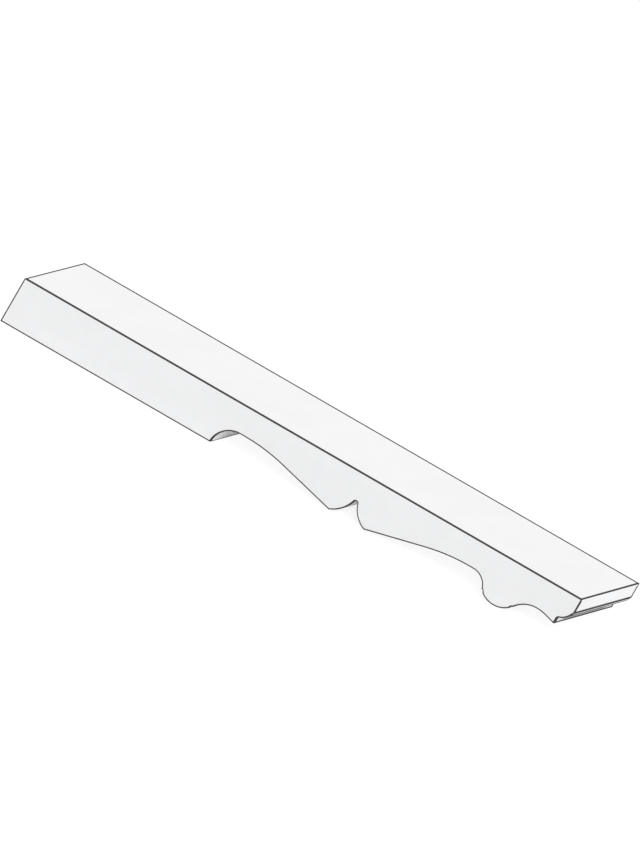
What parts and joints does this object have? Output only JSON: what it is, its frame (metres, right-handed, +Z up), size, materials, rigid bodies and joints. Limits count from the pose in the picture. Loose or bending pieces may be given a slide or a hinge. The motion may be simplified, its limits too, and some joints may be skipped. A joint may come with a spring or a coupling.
{
  "type": "faux rafter tail",
  "caption": "Long moulded beam with a plain top, a scroll-sawn underside of long scoops, a notch and a roll, and a rounded nose; fixed under an eave as a false rafter end.",
  "frame": {"origin": "under the middle of the beam, on the level that its underside rests on", "axes": "+X along the beam from the square butt end towards the moulded nose, +Y across its width, +Z up from the scroll-sawn underside to the flat top"},
  "size_m": [1.8288, 0.1714, 0.1397],
  "materials": {
    "primed_polyurethane": "smooth factory primer, eggshell"
  },
  "bodies": {
    "root": {"rafter_tail": "primed_polyurethane"}
  },
  "joints": []
}
